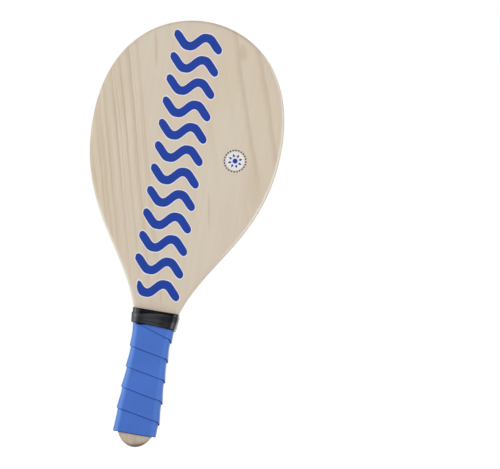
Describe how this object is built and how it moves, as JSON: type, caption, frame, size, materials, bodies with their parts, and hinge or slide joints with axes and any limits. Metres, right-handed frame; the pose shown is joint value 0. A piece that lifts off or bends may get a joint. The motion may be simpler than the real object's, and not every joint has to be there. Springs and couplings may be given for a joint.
{
  "type": "frescobol racket",
  "caption": "Pear-shaped wooden beach racket: plywood blade, cheeked handle wound with a soft grip tape, and a black finishing band at the neck.",
  "frame": {"origin": "in the middle of the handle, 70 mm above the butt's lowest point, where the hand holds the racket", "axes": "+Z along the racket from the butt to the crown, +X across the blade, +Y through its thickness from the printed front to the back"},
  "size_m": [0.201, 0.027, 0.45],
  "materials": {
    "face_pine": "pale pine veneer, satin clear coat, straight grain along the bat",
    "cross_pine": "pine veneer, end grain at the edge",
    "core_pine": "pine veneer, long grain at the edge",
    "handle_pine": "sanded pine, satin",
    "grip_foam": "soft smooth foam tape, matte",
    "black_vinyl": "stretched vinyl tape, glossy",
    "print_ink": "blue printed ink, satin"
  },
  "bodies": {
    "root": {"face_veneer_front": "face_pine", "crossband_front": "cross_pine", "core_veneer": "core_pine", "crossband_back": "cross_pine", "face_veneer_back": "face_pine", "handle_cheek_front": "handle_pine", "handle_cheek_back": "handle_pine", "grip_tape": "grip_foam", "finishing_tape": "black_vinyl"}
  },
  "joints": []
}
